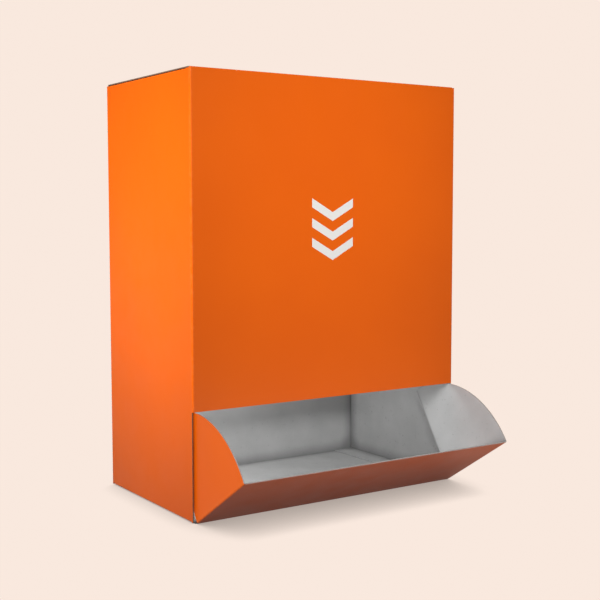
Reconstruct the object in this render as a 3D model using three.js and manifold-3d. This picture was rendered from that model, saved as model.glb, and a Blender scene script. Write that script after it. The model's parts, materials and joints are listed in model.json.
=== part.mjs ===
// Gravity-feed dispenser carton: one die-cut sheet of printed board, folded and glued into a
// tall tube, with a hinged tuck-in lid and a tilt-out tray flap in its mouth.
// Millimetres. +Z up, front towards -Y, origin at the centre of the base, on the ground.

import * as THREE from 'three';
import { mergeVertices } from 'three/addons/utils/BufferGeometryUtils.js';
import Module from 'manifold-3d';

const wasm = await Module();
wasm.setup();

// Overall size of the closed carton
const WIDTH = 180;
const DEPTH = 104;
const HEIGHT = 240;

// The sheet and the way it folds
const BOARD = 0.6;
const FOLD_RADIUS = 0.9; // outer face of a folded corner
const UNGLUED_GAP = 0.3; // between layers that only lie on each other, and at hinge folds

// Mouth and tray flap
const MOUTH_HEIGHT = 60; // underside of the front panel above the ground
const LIP_LENGTH = 59.4; // hinge fold to free edge, also the radius of the wings
const LIP_TILT = 57.5; // degrees the lip leans out from upright as it stands
const WING_CLEARANCE = 0.9; // wing to side panel
const WING_RELIEF = 1.4; // hinge fold to the wing's straight edge

// Flaps of the carton
const GLUE_TAB_WIDTH = 15;
const GLUE_TAB_TRIM = 4; // slanted ends of the tab
const BOTTOM_FLAP_LENGTH = 15; // glued down on the bottom panel
const BOTTOM_FLAP_SETBACK = 2; // behind the front fold
const FLAP_CORNER_RELIEF = 1.2; // flap ends clear of the back panel
const DUST_FLAP_LENGTH = 50;
const DUST_FLAP_SETBACK = 3.5; // behind the front panel's outer face
const DUST_FLAP_TAPER = 12;

// Lid and its tuck flap
const LID_SIDE_INSET = 0.5;
const FRONT_EDGE_DROP = 0.6; // front panel's cut edge below the lid's top face
const TUCK_LENGTH = 18;
const TUCK_LEAN = 7; // degrees the tuck leans inwards, so that it swings clear of the front
const TUCK_FRONT_CLEARANCE = 0.5;
const TUCK_SIDE_CLEARANCE = 0.8;
const TUCK_CORNER_RADIUS = 9;

// Facets
const FOLD_STEPS = 6;
const ARC_STEPS = 48;
const CORNER_STEPS = 10;
const KNUCKLE_SIDES = 16;

// Planes and axes that the pieces share
const LEFT = -WIDTH / 2;
const FRONT = -DEPTH / 2;
const BACK = DEPTH / 2;
const PANEL_REACH = WIDTH / 2 - FOLD_RADIUS; // flat part of the front, back and bottom panels
const LID_UNDERSIDE = HEIGHT - BOARD;
const WALL_TOP = LID_UNDERSIDE - UNGLUED_GAP; // side and back panels, below the lid
const FRONT_TOP = HEIGHT - FRONT_EDGE_DROP;
const FLOOR_TOP = 2 * BOARD; // bottom panel with the side flaps glued on it
const LIP_HINGE = new THREE.Vector3(0, FRONT + BOARD / 2, BOARD / 2);
const LID_HINGE = new THREE.Vector3(0, BACK - BOARD / 2, HEIGHT - BOARD / 2);

function toSolid(geometry) {
  const bare = geometry.clone();
  bare.deleteAttribute('normal');
  bare.deleteAttribute('uv');
  const merged = mergeVertices(bare, 1e-5);
  return new wasm.Manifold(new wasm.Mesh({
    numProp: 3,
    vertProperties: new Float32Array(merged.attributes.position.array),
    triVerts: new Uint32Array(merged.index.array),
  }));
}

function toGeometry(solid) {
  const mesh = solid.getMesh();
  const geometry = new THREE.BufferGeometry();
  geometry.setAttribute('position', new THREE.BufferAttribute(mesh.vertProperties, 3));
  geometry.setIndex(new THREE.BufferAttribute(mesh.triVerts, 1));
  geometry.computeVertexNormals();
  return geometry;
}

const union = (...solids) => solids.reduce((whole, solid) => whole.add(solid));

function extrude(shape, depth, curveSegments) {
  return new THREE.ExtrudeGeometry(shape, { depth, curveSegments, bevelEnabled: false });
}

// Plan outline (x, y) raised from z0 to z1
function prismZ(shape, z0, z1, steps = FOLD_STEPS) {
  return toSolid(extrude(shape, z1 - z0, steps).translate(0, 0, z0));
}

// Side outline (y, z) swept along X from x0 to x1
function prismX(shape, x0, x1, steps = FOLD_STEPS) {
  const turn = new THREE.Matrix4().makeBasis(
    new THREE.Vector3(0, 1, 0), new THREE.Vector3(0, 0, 1), new THREE.Vector3(1, 0, 0));
  return toSolid(extrude(shape, x1 - x0, steps).applyMatrix4(turn).translate(x0, 0, 0));
}

// Front outline (x, z) swept along Y from y0 to y1
function prismY(shape, y0, y1, steps = FOLD_STEPS) {
  const turn = new THREE.Matrix4().makeBasis(
    new THREE.Vector3(1, 0, 0), new THREE.Vector3(0, 0, 1), new THREE.Vector3(0, -1, 0));
  return toSolid(extrude(shape, y1 - y0, steps).applyMatrix4(turn).translate(0, y1, 0));
}

function polygon(points) {
  return new THREE.Shape(points.map(([u, v]) => new THREE.Vector2(u, v)));
}

function rectangle(u0, v0, u1, v1) {
  return polygon([[u0, v0], [u1, v0], [u1, v1], [u0, v1]]);
}

// Straight line to where an arc starts, then the arc
function lineAndArc(outline, centre, radius, from, to, clockwise = false) {
  outline.lineTo(centre.x + radius * Math.cos(from), centre.y + radius * Math.sin(from));
  outline.absarc(centre.x, centre.y, radius, from, to, clockwise);
}

const mirrored = (points) => points.map(([u, v]) => [-u, v]).reverse();

// Section through a folded sheet. The points run along its outer face, with the board on their
// left, and every fold turns left round the same outer radius.
function foldedSheet(points) {
  const path = points.map(([u, v]) => new THREE.Vector2(u, v));
  const normals = path.slice(1).map((end, i) => {
    const along = end.clone().sub(path[i]).normalize();
    return new THREE.Vector2(-along.y, along.x);
  });
  const folds = path.slice(1, -1).map((corner, i) => {
    const before = normals[i];
    const after = normals[i + 1];
    const reach = FOLD_RADIUS / (1 + before.dot(after));
    return {
      centre: corner.clone().addScaledVector(before.clone().add(after), reach),
      from: Math.atan2(-before.y, -before.x),
      to: Math.atan2(-after.y, -after.x),
    };
  });
  const innerEnd = path.at(-1).clone().addScaledVector(normals.at(-1), BOARD);
  const innerStart = path[0].clone().addScaledVector(normals[0], BOARD);
  const shape = new THREE.Shape().moveTo(path[0].x, path[0].y);
  for (const { centre, from, to } of folds) {
    lineAndArc(shape, centre, FOLD_RADIUS, from, to);
  }
  shape.lineTo(path.at(-1).x, path.at(-1).y);
  shape.lineTo(innerEnd.x, innerEnd.y);
  for (const { centre, from, to } of [...folds].reverse()) {
    lineAndArc(shape, centre, FOLD_RADIUS - BOARD, to, from, true);
  }
  shape.lineTo(innerStart.x, innerStart.y);
  shape.closePath();
  return shape;
}

// Rectangle with rounded corners, drawn on a shape or on a hole's path
function roundedRectangle(outline, halfWidth, halfDepth, radius) {
  const u = halfWidth - radius;
  const v = halfDepth - radius;
  outline.absarc(u, v, radius, 0, Math.PI / 2, false);
  outline.absarc(-u, v, radius, Math.PI / 2, Math.PI, false);
  outline.absarc(-u, -v, radius, Math.PI, 1.5 * Math.PI, false);
  outline.absarc(u, -v, radius, 1.5 * Math.PI, 2 * Math.PI, false);
  outline.closePath();
  return outline;
}

// Round edge of a hinged panel, on the hinge's axis
function knuckle(halfWidth) {
  const roll = new THREE.CylinderGeometry(BOARD / 2, BOARD / 2, 2 * halfWidth, KNUCKLE_SIDES);
  return toSolid(roll.rotateZ(Math.PI / 2));
}

// The four upright panels, with the front cut away over the mouth
function tube() {
  const ring = roundedRectangle(new THREE.Shape(), WIDTH / 2, DEPTH / 2, FOLD_RADIUS);
  ring.holes.push(roundedRectangle(
    new THREE.Path(), WIDTH / 2 - BOARD, DEPTH / 2 - BOARD, FOLD_RADIUS - BOARD));
  const walls = prismZ(ring, BOARD, WALL_TOP);
  const mouth = prismZ(
    rectangle(LEFT - BOARD, FRONT - BOARD, -LEFT + BOARD, FRONT + FOLD_RADIUS), 0, MOUTH_HEIGHT);
  const frontPanel = prismZ(
    rectangle(-PANEL_REACH, FRONT, PANEL_REACH, FRONT + BOARD), MOUTH_HEIGHT, FRONT_TOP);
  return walls.subtract(mouth).add(frontPanel);
}

// Back panel folded forward into the outer layer of the base
function backAndBottom() {
  const base = foldedSheet([
    [LIP_HINGE.y + BOARD / 2 + UNGLUED_GAP, 0], [BACK, 0], [BACK, WALL_TOP],
  ]);
  return prismX(base, -PANEL_REACH, PANEL_REACH);
}

// Strip of side panel that folds in at one end of the carton, and the part of the straight
// wall that the rounded fold takes the place of
function sideFlap(path, y0, y1, z0, z1, side) {
  const section = foldedSheet(side < 0 ? path : mirrored(path));
  const wall = side * (WIDTH / 2);
  const inner = side * PANEL_REACH;
  return {
    flap: prismY(section, y0, y1),
    straight: prismY(rectangle(
      Math.min(wall + side * BOARD, inner), z0, Math.max(wall + side * BOARD, inner), z1), y0, y1),
  };
}

// Side flap glued down on the bottom panel
function bottomFlap(side) {
  const foldEnd = BOARD + FOLD_RADIUS;
  const path = [
    [LEFT, 2 * foldEnd], [LEFT, BOARD], [LEFT + BOTTOM_FLAP_LENGTH, BOARD],
  ];
  return sideFlap(path, FRONT + BOTTOM_FLAP_SETBACK, BACK - FLAP_CORNER_RELIEF, 0, foldEnd, side);
}

// Dust flap under the lid, tapered to its tip
function dustFlap(side) {
  const foldStart = WALL_TOP - FOLD_RADIUS;
  const tip = LEFT + DUST_FLAP_LENGTH;
  const path = [[tip, WALL_TOP], [LEFT, WALL_TOP], [LEFT, foldStart - FOLD_RADIUS]];
  const y0 = FRONT + DUST_FLAP_SETBACK;
  const y1 = BACK - FLAP_CORNER_RELIEF;
  const pieces = sideFlap(path, y0, y1, foldStart, HEIGHT, side);
  const outline = [
    [LEFT - BOARD, y0], [LEFT + FOLD_RADIUS, y0], [tip - DUST_FLAP_TAPER / 3, y0 + DUST_FLAP_TAPER / 3],
    [tip, y0 + DUST_FLAP_TAPER], [tip, y1 - DUST_FLAP_TAPER],
    [tip - DUST_FLAP_TAPER / 3, y1 - DUST_FLAP_TAPER / 3], [LEFT + FOLD_RADIUS, y1],
    [LEFT - BOARD, y1],
  ];
  const trim = prismZ(polygon(side < 0 ? outline : mirrored(outline)), 0, HEIGHT);
  return { flap: pieces.flap.intersect(trim), straight: pieces.straight };
}

// Tab folded from the back panel's edge and glued inside the left panel
function glueTab() {
  const root = BACK - BOARD / 2;
  const edge = BACK - BOARD - GLUE_TAB_WIDTH;
  const low = FLOOR_TOP + FOLD_RADIUS;
  const high = WALL_TOP - BOARD - FOLD_RADIUS;
  const outline = polygon([
    [root, low], [root, high], [edge, high - GLUE_TAB_TRIM], [edge, low + GLUE_TAB_TRIM],
  ]);
  return prismX(outline, LEFT + BOARD / 2, LEFT + 2 * BOARD);
}

function carton() {
  const folds = [-1, 1].flatMap((side) => [bottomFlap(side), dustFlap(side)]);
  const wallsLeft = folds.reduce((walls, { straight }) => walls.subtract(straight), tube());
  return union(wallsLeft, backAndBottom(), glueTab(), ...folds.map(({ flap }) => flap));
}

// Closing panel and tuck, drawn from the hinge fold at the top of the back panel
function lid() {
  const foldY = FRONT + BOARD + TUCK_FRONT_CLEARANCE - LID_HINGE.y;
  const lean = THREE.MathUtils.degToRad(TUCK_LEAN);
  const top = BOARD / 2;
  const tuckEnd = [
    foldY + TUCK_LENGTH * Math.sin(lean), top - TUCK_LENGTH * Math.cos(lean),
  ];
  const panelReach = WIDTH / 2 - LID_SIDE_INSET;
  const tuckReach = WIDTH / 2 - BOARD - TUCK_SIDE_CLEARANCE;
  const folded = foldedSheet([[0, top], [foldY, top], tuckEnd]);
  const panel = prismX(
    rectangle(0, -top, foldY + FOLD_RADIUS, top), -panelReach, panelReach);
  const tuckOutline = new THREE.Shape().moveTo(-tuckReach, HEIGHT);
  const corner = new THREE.Vector2(
    tuckReach - TUCK_CORNER_RADIUS, tuckEnd[1] + TUCK_CORNER_RADIUS);
  const farCorner = new THREE.Vector2(-corner.x, corner.y);
  lineAndArc(tuckOutline, farCorner, TUCK_CORNER_RADIUS, Math.PI, 1.5 * Math.PI);
  lineAndArc(tuckOutline, corner, TUCK_CORNER_RADIUS, 1.5 * Math.PI, 2 * Math.PI);
  tuckOutline.lineTo(tuckReach, HEIGHT);
  tuckOutline.closePath();
  const tuck = prismX(folded, -panelReach, panelReach)
    .intersect(prismY(tuckOutline, foldY - BOARD, BOARD, CORNER_STEPS));
  return union(panel, tuck, knuckle(panelReach));
}

// Lip and two quarter-round wings, drawn upright from the hinge fold at the base of the mouth
function trayFlap() {
  const reach = WIDTH / 2 - BOARD - WING_CLEARANCE;
  const channel = prismZ(foldedSheet([
    [-reach, LIP_LENGTH], [-reach, -BOARD / 2], [reach, -BOARD / 2], [reach, LIP_LENGTH],
  ]), 0, LIP_LENGTH);
  const start = Math.asin(BOARD / 2 / LIP_LENGTH);
  const end = Math.acos(WING_RELIEF / LIP_LENGTH);
  const sector = new THREE.Shape().moveTo(-BOARD / 2, 0);
  lineAndArc(
    sector, new THREE.Vector2(), LIP_LENGTH, Math.PI / 2 + start, Math.PI / 2 - end, true);
  sector.lineTo(BOARD / 2, WING_RELIEF);
  sector.lineTo(BOARD / 2, 0);
  sector.closePath();
  const cut = channel.intersect(prismX(sector, -reach, reach, ARC_STEPS));
  return cut.add(knuckle(reach - FOLD_RADIUS));
}

const BOARD_COLOUR = { color: 0xf06a10, roughness: 0.45, metalness: 0 };

function sheetMesh(name, solid) {
  const mesh = new THREE.Mesh(toGeometry(solid), new THREE.MeshStandardMaterial(BOARD_COLOUR));
  mesh.name = name;
  return mesh;
}

const dispenser = new THREE.Group();
dispenser.name = 'dispenser_box';

const cartonMesh = sheetMesh('carton', carton());
dispenser.add(cartonMesh);

const lidMesh = sheetMesh('lid', lid());
lidMesh.position.copy(LID_HINGE);
dispenser.add(lidMesh);

const trayMesh = sheetMesh('tray_flap', trayFlap());
trayMesh.position.copy(LIP_HINGE);
trayMesh.rotation.x = THREE.MathUtils.degToRad(LIP_TILT);
dispenser.add(trayMesh);

export default dispenser;
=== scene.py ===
import json
import math

import bpy
from mathutils import Matrix, Vector


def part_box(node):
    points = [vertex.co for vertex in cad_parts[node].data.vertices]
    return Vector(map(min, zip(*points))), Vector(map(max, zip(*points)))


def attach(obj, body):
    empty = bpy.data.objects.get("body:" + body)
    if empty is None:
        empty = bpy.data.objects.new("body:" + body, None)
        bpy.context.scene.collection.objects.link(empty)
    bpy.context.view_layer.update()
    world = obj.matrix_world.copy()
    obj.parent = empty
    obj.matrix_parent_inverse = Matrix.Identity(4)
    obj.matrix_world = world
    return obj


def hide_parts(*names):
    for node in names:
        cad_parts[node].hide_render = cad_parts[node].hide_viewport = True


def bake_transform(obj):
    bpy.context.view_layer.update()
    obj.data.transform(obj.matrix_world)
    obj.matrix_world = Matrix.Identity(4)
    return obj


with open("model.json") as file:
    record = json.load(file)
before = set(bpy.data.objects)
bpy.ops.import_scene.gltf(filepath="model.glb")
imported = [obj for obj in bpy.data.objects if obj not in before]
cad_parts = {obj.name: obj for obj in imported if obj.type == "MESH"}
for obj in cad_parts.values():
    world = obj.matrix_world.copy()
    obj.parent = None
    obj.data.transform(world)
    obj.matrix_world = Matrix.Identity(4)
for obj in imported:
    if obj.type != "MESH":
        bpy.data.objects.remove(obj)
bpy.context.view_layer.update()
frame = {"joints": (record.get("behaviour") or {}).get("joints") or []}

# Sizes in metres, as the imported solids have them
MM = 0.001
BOARD = 0.6 * MM
FOLD_RADIUS = 0.9 * MM
HINGE_GAP = 0.3 * MM
MOUTH_HEIGHT = 60 * MM
WING_RELIEF = 1.4 * MM
WING_CLEARANCE = 0.9 * MM
GLUE_TAB_WIDTH = 15 * MM
GLUE_TAB_TRIM = 4 * MM
BOTTOM_FLAP_LENGTH = 15 * MM
BOTTOM_FLAP_SETBACK = 2 * MM
FLAP_CORNER_RELIEF = 1.2 * MM
DUST_FLAP_LENGTH = 50 * MM
DUST_FLAP_SETBACK = 3.5 * MM
DUST_FLAP_TAPER = 12 * MM
LID_SIDE_INSET = 0.5 * MM
TUCK_LENGTH = 18 * MM
TUCK_LEAN = math.radians(7)
TUCK_FRONT_CLEARANCE = 0.5 * MM
TUCK_SIDE_CLEARANCE = 0.8 * MM
TUCK_CORNER_RADIUS = 9 * MM
LAYER_GAP = 0.02 * MM  # between glued layers
FLAP_SLIT = 0.05 * MM  # step in a wall where one of its flaps ends
RUB_AND_SHADE_WIDTH = 1.3 * MM  # strip along the wings' back edge: the side panels rub its ink lighter, and its grey face gets a painted shadow line

carton_low, carton_high = (Vector(c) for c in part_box("carton"))
_, lid_high = (Vector(c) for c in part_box("lid"))
LEFT, FRONT = carton_low.x, carton_low.y
RIGHT, BACK = carton_high.x, carton_high.y
FRONT_TOP = carton_high.z
LID_TOP = lid_high.z
WALL_TOP = LID_TOP - BOARD - HINGE_GAP
REACH = RIGHT - FOLD_RADIUS
JOINTS = {joint["name"]: joint for joint in frame["joints"]}
TRAY_HINGE = Vector(JOINTS["tray_fold"]["pos_m"])
LIP_TILT = -math.radians(JOINTS["tray_fold"]["range_deg"][0])
LIP_LENGTH = MOUTH_HEIGHT - TRAY_HINGE.z - HINGE_GAP

FOLD_STEPS = 6
SUPPORT = (0.35 * MM, 1.4 * MM)  # loops beside each fold, which keep its shading to itself
CELL = 9 * MM
TUCK_CELL = 4 * MM
SHORT_CELLS = 3
CREASE_STEPS = 8
TUCK_CORNER_STEPS = 10
WING_STEPS = 44
WING_SHARES = (0, 0.008, 0.03, *(k / 12 for k in range(1, 13)))  # from the lip out to the rim
RELIEF_MARGIN = 1 * MM  # from the wings' relief to the next row
WALL_MARGIN = 3 * MM  # from the ends of the walls to the first plain row
EPS = 1e-6

# Material slots; only the carton has the last one
PRINTED, GREY, EDGE, BARE = range(4)


class Sheet:
    """Folded board, kept as matching points on its printed and on its grey face."""

    def __init__(self):
        self.index = {}
        self.outer = []
        self.inner = []
        self.fold = []
        self.quads = []

    def point(self, place, inward, fold=0.0):
        key = tuple(round(c / EPS) for c in place)
        if key not in self.index:
            self.index[key] = len(self.outer)
            self.outer.append(Vector(place))
            self.inner.append(Vector(place) + Vector(inward) * BOARD)
            self.fold.append(fold)
        return self.index[key]

    def patch(self, rows, skip=None):
        """Quads over rows of (place, inward, fold) points; skip(row, column) leaves one out."""
        ids = [[self.point(*p) for p in row] for row in rows]
        for i in range(len(ids) - 1):
            for j in range(len(ids[i]) - 1):
                if skip and skip(i, j):
                    continue
                quad = [ids[i][j], ids[i][j + 1], ids[i + 1][j + 1], ids[i + 1][j]]
                quad = list(dict.fromkeys(quad))
                if len(quad) < 3:
                    continue
                a, b, d = (self.outer[quad[k]] for k in (0, 1, -1))
                inward = sum((self.inner[k] - self.outer[k] for k in quad), Vector())
                if (b - a).cross(d - a).dot(inward) > 0:
                    quad.reverse()
                self.quads.append(quad)

    def piece(self, name, materials, turn=None):
        """Board of full thickness: printed face, grey face and a cut edge round both."""
        count = len(self.outer)
        edges = {}
        for quad in self.quads:
            for a, b in zip(quad, quad[1:] + quad[:1]):
                edges[frozenset((a, b))] = None if frozenset((a, b)) in edges else (a, b)
        rims = [ab for ab in edges.values() if ab]
        faces = list(self.quads)
        faces += [[k + count for k in reversed(quad)] for quad in self.quads]
        faces += [[b, a, a + count, b + count] for a, b in rims]
        mesh = bpy.data.meshes.new(name)
        mesh.from_pydata([tuple(v) for v in self.outer + self.inner], [], faces)
        for slot in materials:
            mesh.materials.append(slot)
        quads = len(self.quads)
        for k, polygon in enumerate(mesh.polygons):
            polygon.material_index = PRINTED if k < quads else GREY if k < 2 * quads else EDGE
            polygon.use_smooth = True
        rim_keys = {frozenset(p) for a, b in rims for p in ((a, b), (a + count, b + count))}
        for edge in mesh.edges:
            edge.use_edge_sharp = frozenset(edge.vertices) in rim_keys
        # fold weight: ink rubbed lighter on the printed face, painted shade on the grey face
        fold_wear_and_shade = mesh.attributes.new("fold", "FLOAT", "POINT")
        fold_wear_and_shade.data.foreach_set("value", self.fold + self.fold)
        if turn:
            mesh.transform(turn)
        mesh.validate()
        obj = bpy.data.objects.new(name, mesh)
        bpy.context.collection.objects.link(obj)
        return obj


def spread(start, end, cell=CELL):
    """Stations from start to end, close together beside both ends."""
    near, far = SUPPORT
    span = end - start
    size = abs(span)
    sign = 1 if span > 0 else -1
    if size < 4 * far:
        return [start + span * k / SHORT_CELLS for k in range(SHORT_CELLS + 1)]
    inner = size - 2 * far
    count = max(1, round(inner / cell))
    middle = [far + inner * k / count for k in range(count + 1)]
    distances = [0, near, *middle, size - near, size]
    return [start + sign * d for d in distances]


def arc(steps=FOLD_STEPS, turn=math.pi / 2):
    return [turn * k / steps for k in range(steps + 1)]


def fold_weight(distance):
    """1 on a fold, fading to 0 at its farther support loop."""
    return max(0.0, 1.0 - distance / SUPPORT[-1])


def side_wall(side, y_start, y_end):
    """Columns of a side panel, with a narrow step at each end of its two flaps."""
    bottom = (FRONT + BOTTOM_FLAP_SETBACK, BACK - FLAP_CORNER_RELIEF)
    dust = (FRONT + DUST_FLAP_SETBACK, BACK - FLAP_CORNER_RELIEF)
    stations = set(spread(y_start, y_end))
    for low, high in (bottom, dust):
        stations |= {low - FLAP_SLIT, low, high, high + FLAP_SLIT}
    stations = sorted(stations, reverse=y_start > y_end)
    columns = []
    for y in stations:
        folded = bottom[0] <= y <= bottom[1]
        dusted = dust[0] <= y <= dust[1]
        weight = fold_weight(abs(y - (FRONT + FOLD_RADIUS)))
        columns.append(dict(
            x=side * RIGHT, y=y, inward=(-side, 0, 0), fold=weight,
            low=BOARD + FOLD_RADIUS if folded else BOARD,
            high=WALL_TOP - FOLD_RADIUS if dusted else WALL_TOP))
    return columns


def corner(x, y, start, low, high):
    """Columns of an upright fold round (x, y), turning left from the angle start."""
    columns = []
    for turn in arc()[1:-1]:
        c, s = math.cos(start + turn), math.sin(start + turn)
        columns.append(dict(x=x + FOLD_RADIUS * c, y=y + FOLD_RADIUS * s,
                            inward=(-c, -s, 0), fold=1.0, low=low, high=high))
    return columns


def face_wall(x_start, x_end, y, inward_y, low, high):
    """Columns of the front or the back panel."""
    return [dict(x=x, y=y, inward=(0, inward_y, 0), low=low, high=high,
                 fold=fold_weight(min(abs(x - x_start), abs(x - x_end))))
            for x in spread(x_start, x_end)]


def glue_tab_columns(root_y):
    """Tab inside the left panel, its ends trimmed at a slant."""
    columns = []
    x = LEFT + BOARD + LAYER_GAP
    for y in spread(root_y, root_y - GLUE_TAB_WIDTH + FOLD_RADIUS):
        slant = GLUE_TAB_TRIM * (root_y - y) / GLUE_TAB_WIDTH
        columns.append(dict(x=x, y=y, inward=(1, 0, 0), fold=fold_weight(root_y - y),
                            slanted=y < root_y,
                            low=2 * BOARD + FOLD_RADIUS + slant,
                            high=WALL_TOP - BOARD - FOLD_RADIUS - slant))
    return columns


def wall_levels():
    """Heights of the rows up the walls, with one at the top edge of the mouth."""
    low = [WALL_MARGIN, *spread(2 * WALL_MARGIN, MOUTH_HEIGHT)[1:-1], MOUTH_HEIGHT]
    return low + spread(MOUTH_HEIGHT, WALL_TOP - WALL_MARGIN)[1:]


def carton_sheet():
    """Walls, glue tab and bottom, with the flaps of the two side panels."""
    sheet = Sheet()
    tab_x = LEFT + BOARD + LAYER_GAP + FOLD_RADIUS
    fold_x, fold_y = REACH, BACK - FOLD_RADIUS
    left = side_wall(-1, BACK - HINGE_GAP, -fold_y)
    right = side_wall(1, -fold_y, fold_y)
    columns = (
        left + corner(-fold_x, -fold_y, math.pi, BOARD, FRONT_TOP)
        + face_wall(-fold_x, fold_x, FRONT, 1, BOARD, FRONT_TOP)
        + corner(fold_x, -fold_y, 1.5 * math.pi, BOARD, FRONT_TOP) + right
        + corner(fold_x, fold_y, 0, BOARD, WALL_TOP)
        + face_wall(fold_x, tab_x, BACK, -1, FOLD_RADIUS, WALL_TOP)
        + corner(tab_x, fold_y, 0.5 * math.pi, FOLD_RADIUS, WALL_TOP)
        + glue_tab_columns(fold_y))
    levels = wall_levels()
    rows_below = 2  # that heights() puts under the levels
    mouth_row = levels.index(MOUTH_HEIGHT) + rows_below

    def heights(column):
        """Levels of one column; the slanted glue tab squeezes them between its own ends."""
        low, high = column["low"], column["high"]
        inner = levels
        if column.get("slanted"):
            rise = (high - low) / (WALL_TOP - FOLD_RADIUS)
            inner = [low + (z - FOLD_RADIUS) * rise for z in levels]
        return [low, low + SUPPORT[0], *inner, high - SUPPORT[0], high]

    rows = [[((c["x"], c["y"], z), c["inward"], c["fold"])
             for c, z in zip(columns, level)]
            for level in zip(*(heights(c) for c in columns))]

    def over_mouth(i, j):
        middle = (columns[j]["y"] + columns[j + 1]["y"]) / 2
        return i < mouth_row and middle < -fold_y

    sheet.patch(rows, over_mouth)
    bottom_panel(sheet, [c["x"] for c in face_wall(fold_x, tab_x, BACK, -1, 0, 0)])
    for side, wall in ((-1, left), (1, right)):
        bottom_flap(sheet, side, [c["y"] for c in wall if c["low"] > BOARD])
        dust_flap(sheet, side, [c["y"] for c in wall if c["high"] < WALL_TOP])
    return sheet


def bottom_panel(sheet, xs):
    """From the fold under the back panel forward to the tray flap's crease."""
    profile = []
    for turn in arc():
        c, s = math.cos(-turn), math.sin(-turn)
        profile.append((BACK - FOLD_RADIUS + FOLD_RADIUS * c, FOLD_RADIUS + FOLD_RADIUS * s,
                        (0, -c, -s), 1.0))
    start, end = BACK - FOLD_RADIUS, TRAY_HINGE.y + BOARD / 2 + HINGE_GAP
    for y in spread(start, end)[1:]:
        profile.append((y, 0.0, (0, 0, 1), fold_weight(min(start - y, y - end))))
    sheet.patch([[((x, y, z), inward, fold) for x in xs] for y, z, inward, fold in profile])


def bottom_flap(sheet, side, ys):
    """Glued on top of the bottom panel."""
    rows = []
    base = BOARD + LAYER_GAP
    for turn in arc():
        c, s = math.cos(turn), math.sin(turn)
        z = BOARD + FOLD_RADIUS - FOLD_RADIUS * s
        rows.append([((side * (REACH + FOLD_RADIUS * c), y, max(z, base) if turn else z),
                      (-side * c, 0, s), 1.0) for y in ys])
    for x in spread(REACH, RIGHT - BOTTOM_FLAP_LENGTH)[1:]:
        rows.append([((side * x, y, base), (0, 0, 1), fold_weight(REACH - x)) for y in ys])
    sheet.patch(rows)


def dust_flap(sheet, side, ys):
    """Level under the lid, narrowing towards its tip."""
    rows = []
    for turn in arc():
        c, s = math.cos(turn), math.sin(turn)
        z = WALL_TOP - FOLD_RADIUS + FOLD_RADIUS * s
        rows.append([((side * (REACH + FOLD_RADIUS * c), y, z), (-side * c, 0, -s), 1.0)
                     for y in ys])
    tip = RIGHT - DUST_FLAP_LENGTH
    shoulder = DUST_FLAP_TAPER / 3
    knee = tip + shoulder
    middle = (ys[0] + ys[-1]) / 2
    half = abs(ys[0] - ys[-1]) / 2
    for x in spread(REACH, knee)[1:] + [(knee + tip) / 2, tip]:
        if x >= knee:
            taper = shoulder * (REACH - x) / (REACH - knee)
        else:
            taper = shoulder + 2 * shoulder * (knee - x) / (knee - tip)
        narrow = 1 - taper / half
        rows.append([((side * x, middle + (y - middle) * narrow, WALL_TOP), (0, 0, -1),
                      fold_weight(REACH - x)) for y in ys])
    sheet.patch(rows)


def lid_sheet():
    """Closing panel and, round its front fold, the tuck flap with rounded corners."""
    sheet = Sheet()
    panel_reach = RIGHT - LID_SIDE_INSET
    tuck_reach = RIGHT - BOARD - TUCK_SIDE_CLEARANCE
    fold_y = FRONT + BOARD + TUCK_FRONT_CLEARANCE
    lean = Vector((math.cos(TUCK_LEAN), math.sin(TUCK_LEAN)))  # inward from the tuck, in (y, z)
    reach = FOLD_RADIUS / (1 - lean.y)
    centre = Vector((fold_y + reach * lean.x, LID_TOP - FOLD_RADIUS))
    down = Vector((lean.y, -lean.x))
    tip = Vector((fold_y, LID_TOP)) + down * TUCK_LENGTH
    profile = []
    back = BACK - FOLD_RADIUS
    for y in spread(back, centre.x)[:-1]:
        profile.append((Vector((y, LID_TOP)), Vector((0, -1)), panel_reach,
                        fold_weight(min(back - y, y - centre.x))))
    whole = math.pi / 2 + TUCK_LEAN
    for turn in arc(FOLD_STEPS, whole):
        inward = Vector((math.sin(turn), -math.cos(turn)))
        half = panel_reach + (tuck_reach - panel_reach) * turn / whole
        profile.append((centre - inward * FOLD_RADIUS, inward, half, 1.0))
    start = profile[-1][0]
    length = (tip - start).length
    corner_x = tuck_reach - TUCK_CORNER_RADIUS
    straight = spread(0, length - TUCK_CORNER_RADIUS, TUCK_CELL)[1:]
    rounded = [length - TUCK_CORNER_RADIUS * (1 - math.sin(turn))
               for turn in arc(TUCK_CORNER_STEPS)[1:]]
    for d in straight + rounded:
        beyond = max(0.0, d - (length - TUCK_CORNER_RADIUS))
        half = corner_x + math.sqrt(max(0.0, TUCK_CORNER_RADIUS ** 2 - beyond ** 2))
        profile.append((start + down * d, lean, half, fold_weight(d)))
    shares = [x / panel_reach for x in spread(-panel_reach, panel_reach)]
    sheet.patch([[((share * half, place.x, place.y), (0, inward.x, inward.y), fold)
                  for share in shares] for place, inward, half, fold in profile])
    return sheet


# Crease of the tray flap: an arc that meets the bottom panel and the standing lip
CREASE_START = TRAY_HINGE.y + BOARD / 2 + HINGE_GAP
CREASE_TURN = math.pi / 2 - LIP_TILT
CREASE_CORNER = -BOARD / 2 * (1 - math.sin(LIP_TILT)) / math.cos(LIP_TILT)  # up the lip
CREASE_CORNER_Y = (
    TRAY_HINGE.y - CREASE_CORNER * math.sin(LIP_TILT) - BOARD / 2 * math.cos(LIP_TILT))
CREASE_TANGENT = CREASE_START - CREASE_CORNER_Y
CREASE_REACH = CREASE_CORNER + CREASE_TANGENT
CREASE_RADIUS = CREASE_TANGENT / math.tan(CREASE_TURN / 2)


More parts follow.
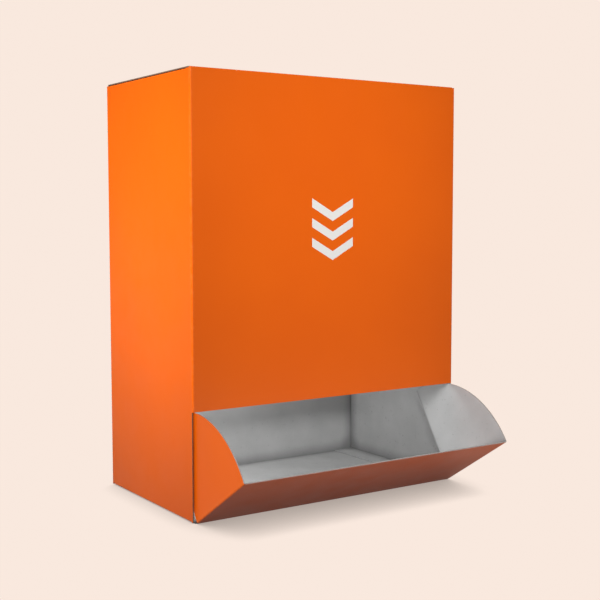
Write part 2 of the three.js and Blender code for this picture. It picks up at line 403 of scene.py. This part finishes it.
def tray_sheet():
    """Lip and wings as they stand when closed, about the hinge.

    x runs across, y inwards and z up the lip.
    """
    sheet = Sheet()
    reach = RIGHT - BOARD - WING_CLEARANCE
    flat = reach - FOLD_RADIUS
    fold_n = FOLD_RADIUS - BOARD / 2
    first = math.acos(WING_RELIEF / LIP_LENGTH)
    last = math.asin(fold_n / LIP_LENGTH)
    stations = [CREASE_REACH, WING_RELIEF / 2, WING_RELIEF, WING_RELIEF + RELIEF_MARGIN]
    stations += [LIP_LENGTH * math.cos(first + (last - first) * k / WING_STEPS)
                 for k in range(1, WING_STEPS + 1)]
    xs = spread(-flat, flat)
    rows = []
    for s in stations:
        top = max(fold_n, math.sqrt(max(0.0, LIP_LENGTH ** 2 - s ** 2)))
        rub = max(0.0, 1 - (s - WING_RELIEF) / RUB_AND_SHADE_WIDTH)  # along the edge that slides on the side: rubbed ink outside, painted shadow line on the grey face
        wing = [(fold_n + share * (top - fold_n),
                 max(rub, fold_weight(share * (top - fold_n)))) for share in WING_SHARES]
        row = [((-reach, n, s), (1, 0, 0), fold) for n, fold in reversed(wing)]
        for turn in arc()[1:-1]:
            c, n = -math.cos(turn), -math.sin(turn)
            row.append(((-flat + FOLD_RADIUS * c, fold_n + FOLD_RADIUS * n, s), (-c, -n, 0), 1.0))
        row += [((x, -BOARD / 2, s), (0, 1, 0), fold_weight(flat - abs(x))) for x in xs]
        for turn in arc()[1:-1]:
            c, n = math.sin(turn), -math.cos(turn)
            row.append(((flat + FOLD_RADIUS * c, fold_n + FOLD_RADIUS * n, s), (-c, -n, 0), 1.0))
        row += [((reach, n, s), (-1, 0, 0), fold) for n, fold in wing]
        rows.append(row)
    lip_from = len(WING_SHARES) + FOLD_STEPS - 1
    lip_to = lip_from + len(xs) - 1

    def under_relief(i, j):
        return stations[i] < WING_RELIEF - EPS and not lip_from <= j < lip_to

    sheet.patch(rows, under_relief)
    return sheet


def tray_crease_sheet():
    """Strip of board that bends where the tray flap swings."""
    sheet = Sheet()
    flat = RIGHT - BOARD - WING_CLEARANCE - FOLD_RADIUS
    rows = []
    for turn in arc(CREASE_STEPS, CREASE_TURN):
        c, s = math.cos(turn), math.sin(turn)
        y, z = CREASE_START - CREASE_RADIUS * s, CREASE_RADIUS * (1 - c)
        rows.append([((x, y, z), (0, s, c), 1.0) for x in spread(-flat, flat)])
    sheet.patch(rows)
    return sheet


def lid_crease_sheet():
    """Strip of board that bends where the lid swings."""
    sheet = Sheet()
    rows = []
    for turn in arc(CREASE_STEPS):
        c, s = math.cos(turn), math.sin(turn)
        y = BACK - FOLD_RADIUS + FOLD_RADIUS * c
        z = LID_TOP - FOLD_RADIUS + FOLD_RADIUS * s
        rows.append([((x, y, z), (0, -c, -s), 1.0) for x in spread(-REACH, REACH)])
    sheet.patch(rows)
    return sheet


class Shader:
    """Node graph of one material, with short calls for the nodes that it uses."""

    def __init__(self, name):
        self.material = bpy.data.materials.new(name)
        self.material.use_nodes = True
        self.nodes = self.material.node_tree.nodes
        self.links = self.material.node_tree.links
        self.bsdf = self.nodes["Principled BSDF"]
        self.bsdf.inputs["Specular IOR Level"].default_value = 0.4
        self.place = self.nodes.new("ShaderNodeTexCoord").outputs["Object"]

    def wire(self, value, socket):
        if isinstance(value, bpy.types.NodeSocket):
            self.links.new(value, socket)
        else:
            socket.default_value = value

    def noise(self, scale, detail=3.0, roughness=0.55, stretch=(1, 1, 1)):
        mapping = self.nodes.new("ShaderNodeMapping")
        mapping.inputs["Scale"].default_value = stretch
        self.links.new(self.place, mapping.inputs["Vector"])
        noise = self.nodes.new("ShaderNodeTexNoise")
        self.links.new(mapping.outputs["Vector"], noise.inputs["Vector"])
        noise.inputs["Scale"].default_value = scale
        noise.inputs["Detail"].default_value = detail
        noise.inputs["Roughness"].default_value = roughness
        return noise.outputs["Fac"]

    def ramp(self, value, low, high, to_low=0.0, to_high=1.0):
        node = self.nodes.new("ShaderNodeMapRange")
        for socket, given in zip(node.inputs, (value, low, high, to_low, to_high)):
            self.wire(given, socket)
        return node.outputs["Result"]

    def math(self, operation, a, b=0.0):
        node = self.nodes.new("ShaderNodeMath")
        node.operation = operation
        self.wire(a, node.inputs[0])
        self.wire(b, node.inputs[1])
        return node.outputs[0]

    def mix(self, factor, a, b):
        node = self.nodes.new("ShaderNodeMix")
        node.data_type = "RGBA"
        colours = [socket for socket in node.inputs if socket.type == "RGBA"]
        self.wire(factor, node.inputs[0])
        self.wire(a if not isinstance(a, tuple) else (*a, 1.0), colours[0])
        self.wire(b if not isinstance(b, tuple) else (*b, 1.0), colours[1])
        return next(socket for socket in node.outputs if socket.type == "RGBA")

    def fold(self):
        node = self.nodes.new("ShaderNodeAttribute")
        node.attribute_name = "fold"
        return node.outputs["Fac"]

    def openness(self, reach):
        """1 on open faces, falling towards 0 deep in a corner."""
        node = self.nodes.new("ShaderNodeAmbientOcclusion")
        node.samples = 16
        node.inputs["Distance"].default_value = reach
        return node.outputs["AO"]

    def bump(self, height, distance, strength, below=None):
        node = self.nodes.new("ShaderNodeBump")
        node.inputs["Distance"].default_value = distance
        node.inputs["Strength"].default_value = strength
        self.wire(height, node.inputs["Height"])
        if below:
            self.links.new(below, node.inputs["Normal"])
        return node.outputs["Normal"]


ORANGE = (0.90, 0.137, 0.0015)
ORANGE_DEEP = (0.87, 0.128, 0.0015)
ORANGE_WORN = (0.93, 0.24, 0.06)
WHITE_INK = (0.88, 0.86, 0.83)
GREY_LIGHT = (0.43, 0.43, 0.428)
GREY_DARK = (0.385, 0.385, 0.383)
GREY_FLECK = (0.29, 0.287, 0.283)
# painted shade: the grey board is darkened towards this in inner corners and along folds
PAINTED_SHADE_GREY = (0.10, 0.10, 0.10)
# painted corner shade: how far its occlusion looks, and how dark it gets at most
CORNER_REACH = 10 * MM
CORNER_SHADE = 0.6
FILM_ROUGHNESS = (0.36, 0.44)
FOLD_RUB = 0.26  # most that the ink is rubbed off along a fold
# painted shade along the folds of the grey face, at most this share
FOLD_SHADE = 0.5
EDGE_LIGHT = (0.25, 0.16, 0.11)
EDGE_DARK = (0.15, 0.09, 0.06)
RIM_LIGHT = (0.29, 0.26, 0.24)
RIM_DARK = (0.22, 0.19, 0.17)

CHEVRONS = 3
CHEVRON_PITCH = 11 * MM
CHEVRON_WEIGHT = 5 * MM
CHEVRON_HALF_WIDTH = 14 * MM
CHEVRON_SLOPE = 0.55
CHEVRON_TOP = 165 * MM
INK_SOFTNESS = 0.06 * MM
MARK_DEPTH = 2 * MM  # how far behind the front panel's face the ink is still drawn


def chevron_mask(shader):
    """1 on three stacked chevrons that point down to the mouth, on the front panel only."""
    split = shader.nodes.new("ShaderNodeSeparateXYZ")
    shader.links.new(shader.place, split.inputs[0])
    x, y, z = split.outputs
    sideways = shader.math("ABSOLUTE", x)
    level = shader.math("SUBTRACT", z, shader.math("MULTIPLY", sideways, CHEVRON_SLOPE))
    down = shader.math("SUBTRACT", CHEVRON_TOP, level)
    step = shader.math("MODULO", down, CHEVRON_PITCH)
    inks = (
        shader.ramp(step, 0.0, INK_SOFTNESS),
        shader.ramp(step, CHEVRON_WEIGHT, CHEVRON_WEIGHT + INK_SOFTNESS, 1.0, 0.0),
        shader.ramp(sideways, CHEVRON_HALF_WIDTH, CHEVRON_HALF_WIDTH + INK_SOFTNESS, 1.0, 0.0),
        shader.math("GREATER_THAN", down, 0.0),
        shader.math("LESS_THAN", down, CHEVRONS * CHEVRON_PITCH),
        shader.math("LESS_THAN", y, FRONT + MARK_DEPTH),
    )
    mask = inks[0]
    for ink in inks[1:]:
        mask = shader.math("MULTIPLY", mask, ink)
    return mask


def printed_board(name, marked=False):
    """Flat orange ink under a satin film, rubbed a little lighter along the folds."""
    shader = Shader(name)
    tone = shader.ramp(shader.noise(scale=14, detail=2), low=0.35, high=0.65)
    colour = shader.mix(tone, ORANGE_DEEP, ORANGE)
    speck = shader.ramp(shader.noise(scale=1500, detail=2), low=0.3, high=0.75, to_high=0.1)
    colour = shader.mix(speck, colour, ORANGE_DEEP)
    patchy = shader.ramp(shader.noise(scale=420, detail=4), low=0.42, high=0.72, to_high=FOLD_RUB)
    rub = shader.math("MULTIPLY", shader.fold(), patchy)
    colour = shader.mix(rub, colour, ORANGE_WORN)
    if marked:
        colour = shader.mix(chevron_mask(shader), colour, WHITE_INK)
    shader.wire(colour, shader.bsdf.inputs["Base Color"])
    rough = shader.ramp(shader.noise(scale=60), 0.3, 0.7, *FILM_ROUGHNESS)
    shader.wire(rough, shader.bsdf.inputs["Roughness"])
    fine = shader.bump(shader.noise(scale=1700, detail=2), distance=0.02 * MM, strength=0.35)
    peel = shader.bump(shader.noise(scale=190, detail=2), distance=0.05 * MM, strength=0.25,
                       below=fine)
    shader.wire(peel, shader.bsdf.inputs["Normal"])
    return shader.material


def grey_board(name="grey_back", corner_shade=CORNER_SHADE):
    """Uncoated recycled grey back: cloudy, with short fibres and darker flecks, and painted shade
    darkening it in inner corners and along its folds.
    """
    shader = Shader(name)
    cloud = shader.ramp(shader.noise(scale=45), low=0.35, high=0.65)
    colour = shader.mix(cloud, GREY_DARK, GREY_LIGHT)
    strands = shader.noise(scale=900, detail=4, roughness=0.6, stretch=(0.35, 0.35, 1.6))
    fibre = shader.ramp(strands, low=0.5, high=0.75, to_high=0.35)
    colour = shader.mix(fibre, colour, GREY_LIGHT)
    fleck = shader.ramp(shader.noise(scale=620, detail=1, roughness=0.3),
                        low=0.70, high=0.78, to_high=0.6)
    colour = shader.mix(fleck, colour, GREY_FLECK)
    # painted shade, darker where the board is closed in by a corner
    painted_corner_shade = shader.ramp(shader.openness(CORNER_REACH), low=0.48, high=0.92,
                            to_low=corner_shade, to_high=0.0)
    colour = shader.mix(painted_corner_shade, colour, PAINTED_SHADE_GREY)
    # painted shade along the folds and along the wings' back edge strip
    painted_fold_shade = shader.math("MULTIPLY", shader.fold(), FOLD_SHADE)
    colour = shader.mix(painted_fold_shade, colour, PAINTED_SHADE_GREY)
    shader.wire(colour, shader.bsdf.inputs["Base Color"])
    shader.bsdf.inputs["Roughness"].default_value = 0.85
    tooth = shader.bump(shader.noise(scale=1100, detail=4), distance=0.05 * MM, strength=0.5)
    shader.wire(tooth, shader.bsdf.inputs["Normal"])
    return shader.material


def cut_edge(name, light, dark):
    """Die-cut edge, where the plies of pulp show."""
    shader = Shader(name)
    ply = shader.ramp(shader.noise(scale=2600), low=0.35, high=0.65)
    shader.wire(shader.mix(ply, dark, light), shader.bsdf.inputs["Base Color"])
    shader.bsdf.inputs["Roughness"].default_value = 0.8
    fuzz = shader.bump(shader.noise(scale=3000, detail=2), distance=0.03 * MM, strength=0.4)
    shader.wire(fuzz, shader.bsdf.inputs["Normal"])
    return shader.material


BACKDROP = (0.948, 0.812, 0.730)
WHITE = (1.0, 1.0, 1.0)
DOME = 0.20  # plain light from all round
DOME_GLOSS = 0.04  # what the printed film mirrors above the horizon
GROUND_GLOSS = 0.55  # how much of the ground the printed film mirrors
SHADED_GLOSS = 0.5 * GROUND_GLOSS
GROUND_BOUNCE = (0.38, 0.34, 0.31)
SHADE_REACH = 27 * MM
SHADE_RANGE = (0.04, 0.76)  # open sky share over which the ground's shade fades out
SHADE_DEPTH = 0.42  # brightness left where the shade is deepest
FLOOR_HALF = 4.0


def floor():
    """Pale ground in the backdrop's tone, shaded softly where the part keeps light off it."""
    mesh = bpy.data.meshes.new("floor")
    h = FLOOR_HALF
    mesh.from_pydata([(-h, -h, 0), (h, -h, 0), (h, h, 0), (-h, h, 0)], [], [(0, 1, 2, 3)])
    obj = bpy.data.objects.new("floor", mesh)
    bpy.context.collection.objects.link(obj)
    shader = Shader("pale_floor")
    nodes, links = shader.nodes, shader.links
    nodes.remove(shader.bsdf)
    rays = nodes.new("ShaderNodeLightPath")
    open_sky = shader.openness(SHADE_REACH)
    shade = shader.ramp(open_sky, *SHADE_RANGE, SHADE_DEPTH, 1.0)
    tone = nodes.new("ShaderNodeEmission")
    tone.inputs["Color"].default_value = (*BACKDROP, 1.0)
    sheen = shader.ramp(open_sky, *SHADE_RANGE, SHADED_GLOSS, GROUND_GLOSS)
    mirrored = shader.math("MULTIPLY", rays.outputs["Is Glossy Ray"], sheen)
    seen = shader.math("MULTIPLY", rays.outputs["Is Camera Ray"], shade)
    shader.wire(shader.math("MAXIMUM", seen, mirrored), tone.inputs["Strength"])
    bounce = nodes.new("ShaderNodeBsdfDiffuse")
    bounce.inputs["Color"].default_value = (*GROUND_BOUNCE, 1.0)
    mix = nodes.new("ShaderNodeMixShader")
    either = shader.math("MAXIMUM", rays.outputs["Is Camera Ray"], rays.outputs["Is Glossy Ray"])
    links.new(either, mix.inputs[0])
    links.new(bounce.outputs[0], mix.inputs[1])
    links.new(tone.outputs[0], mix.inputs[2])
    links.new(mix.outputs[0], nodes["Material Output"].inputs["Surface"])
    obj.data.materials.append(shader.material)


def backdrop():
    """One flat pale colour to the camera, plain soft light to everything else."""
    world = bpy.data.worlds.new("studio")
    bpy.context.scene.world = world
    world.use_nodes = True
    nodes, links = world.node_tree.nodes, world.node_tree.links
    nodes.clear()
    rays = nodes.new("ShaderNodeLightPath")
    out = nodes.new("ShaderNodeOutputWorld")
    last = None
    shades = (
        (WHITE, DOME, None),
        (WHITE, DOME_GLOSS, "Is Glossy Ray"),
        (BACKDROP, 1.0, "Is Camera Ray"),
    )
    for colour, strength, ray in shades:
        shade = nodes.new("ShaderNodeBackground")
        shade.inputs["Color"].default_value = (*colour, 1.0)
        shade.inputs["Strength"].default_value = strength
        if ray:
            mix = nodes.new("ShaderNodeMixShader")
            links.new(rays.outputs[ray], mix.inputs[0])
            links.new(last, mix.inputs[1])
            links.new(shade.outputs[0], mix.inputs[2])
            shade = mix
        last = shade.outputs[0]
    links.new(last, out.inputs["Surface"])


def aimed(name, kind, place, target, watts):
    """Lamp at its place, in metres, turned towards the target."""
    data = bpy.data.lights.new(name, kind)
    data.energy = watts
    obj = bpy.data.objects.new(name, data)
    bpy.context.collection.objects.link(obj)
    obj.location = place
    obj.rotation_euler = (Vector(target) - Vector(place)).to_track_quat("-Z", "Y").to_euler()
    return obj


def softbox(name, place, target, watts, size):
    obj = aimed(name, "AREA", place, target, watts)
    obj.data.shape = "RECTANGLE"
    obj.data.size, obj.data.size_y = size
    return obj


def pool(name, place, target, watts, cone, soft):
    """Spot whose edge fades out towards the ground."""
    obj = aimed(name, "SPOT", place, target, watts)
    obj.data.spot_size = math.radians(cone)
    obj.data.spot_blend = 1.0
    obj.data.shadow_soft_size = soft
    return obj


def only_on(pieces, *lamps):
    """The lamps light these pieces and nothing else."""
    lit = bpy.data.collections.new("lit_pieces")
    for piece in pieces:
        lit.objects.link(piece)
    for lamp in lamps:
        lamp.light_linking.receiver_collection = lit


TRAY_PIECES = ("folded_tray", "tray_crease")


def lamps(pieces):
    """Lamps for the photograph's light; none of them lights the floor."""
    inside = aimed("inside", "POINT", place=(-0.055, 0.012, 0.105), target=(0, 0, 0), watts=0.27)
    inside.data.shadow_soft_size = 0.025
    inside.visible_camera = False
    side_pool = pool("side_pool", place=(-1.33, -0.07, 0.60), target=(-0.09, -0.01, 0.168),
                     watts=118, cone=16.8, soft=0.12)
    wing_pool = pool("wing_pool", place=(-1.30, -0.10, 0.02), target=(-0.09, -0.08, 0.06),
                     watts=22, cone=18, soft=0.10)
    front_pool = pool("front_pool", place=(-0.25, -1.35, 0.55), target=(-0.004, -0.052, 0.2),
                      watts=54, cone=18.9, soft=0.12)
    front_fill = softbox("front_fill", place=(-0.2, -1.1, 0.62), target=(0, 0, 0.06),
                         watts=2.2, size=(0.5, 0.3))
    tray_fill = softbox("tray_fill", place=(-0.55, -0.75, 0.62), target=(0.0, -0.07, 0.03),
                        watts=12.5, size=(0.6, 0.5))
    lip_fill = softbox("lip_fill", place=(0.02, -0.17, 0.004), target=(0.0, -0.09, 0.035),
                       watts=0.008, size=(0.24, 0.02))
    lip_fill.data.spread = math.radians(60)
    back_fill = softbox("back_fill", place=(0.75, 1.3, 0.75), target=(0, 0.05, 0.12),
                        watts=17, size=(0.9, 0.7))
    for lamp in (side_pool, wing_pool, front_pool, back_fill):
        lamp.visible_glossy = False
    only_on(pieces, inside, front_fill, lip_fill, back_fill)
    only_on([p for p in pieces if p.name not in TRAY_PIECES], side_pool, front_pool)
    only_on([p for p in pieces if p.name in TRAY_PIECES], wing_pool, tray_fill)


# The photograph's view, in the part's frame
CAMERA_PLACE = Vector((-0.35646, -0.55412, 0.16495))
CAMERA_AZIMUTH = math.radians(33.65)
CAMERA_PITCH = math.radians(4.607)
CAMERA_ROLL = math.radians(-0.066)
FOCAL_PIXELS = 1089.8
PHOTO_PIXELS = 600
SENSOR = 36.0


def camera():
    """Camera at the place from which the photograph's corners fall where they do."""
    data = bpy.data.cameras.new("view")
    data.sensor_width = SENSOR
    data.lens = FOCAL_PIXELS / PHOTO_PIXELS * SENSOR
    data.clip_start = 0.01
    obj = bpy.data.objects.new("view", data)
    bpy.context.collection.objects.link(obj)
    ahead = Vector((math.sin(CAMERA_AZIMUTH) * math.cos(CAMERA_PITCH),
                    math.cos(CAMERA_AZIMUTH) * math.cos(CAMERA_PITCH),
                    -math.sin(CAMERA_PITCH)))
    level = ahead.cross(Vector((0, 0, 1))).normalized()
    up = level.cross(ahead)
    right = level * math.cos(CAMERA_ROLL) + up * math.sin(CAMERA_ROLL)
    up = right.cross(ahead)
    turn = Matrix((right, up, -ahead)).transposed()
    obj.matrix_world = Matrix.Translation(CAMERA_PLACE) @ turn.to_4x4()
    bpy.context.scene.camera = obj


def dress():
    """Printed pieces in place of the plain solids; the carton, lid and tray each on the body that
    it moves with.
    """
    grey, edge = grey_board(), cut_edge("cut_edge", EDGE_LIGHT, EDGE_DARK)
    rim = cut_edge("tray_rim", RIM_LIGHT, RIM_DARK)
    # grey board without the painted corner shade
    bare = grey_board("bare_edge", 0.0)
    front = (printed_board("printed_front", marked=True), grey, edge, bare)
    plain = (printed_board("printed_plain"), grey, edge)
    carton = carton_sheet().piece("folded_carton", front)
    glued_top = 2 * BOARD + LAYER_GAP
    for face in carton.data.polygons:
        if face.material_index == EDGE and face.center.z < glued_top:
            face.material_index = BARE  # no painted corner shade, so no dark line where the glued flaps end
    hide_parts("carton")
    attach(carton, "carton")
    lid = lid_sheet().piece("folded_lid", plain)
    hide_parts("lid")
    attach(lid, "lid")
    stand = Matrix.Translation(TRAY_HINGE) @ Matrix.Rotation(LIP_TILT, 4, "X")
    tray = tray_sheet().piece("folded_tray", (plain[0], grey, rim), stand)
    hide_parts("tray_flap")
    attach(tray, "tray")
    tray_crease = tray_crease_sheet().piece("tray_crease", plain)
    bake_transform(tray_crease)
    lid_crease = lid_crease_sheet().piece("lid_crease", plain)
    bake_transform(lid_crease)
    pieces = [carton, lid, tray, tray_crease, lid_crease]
    return pieces


camera()
backdrop()
floor()
lamps(dress())
bpy.context.scene.view_settings.view_transform = "Standard"
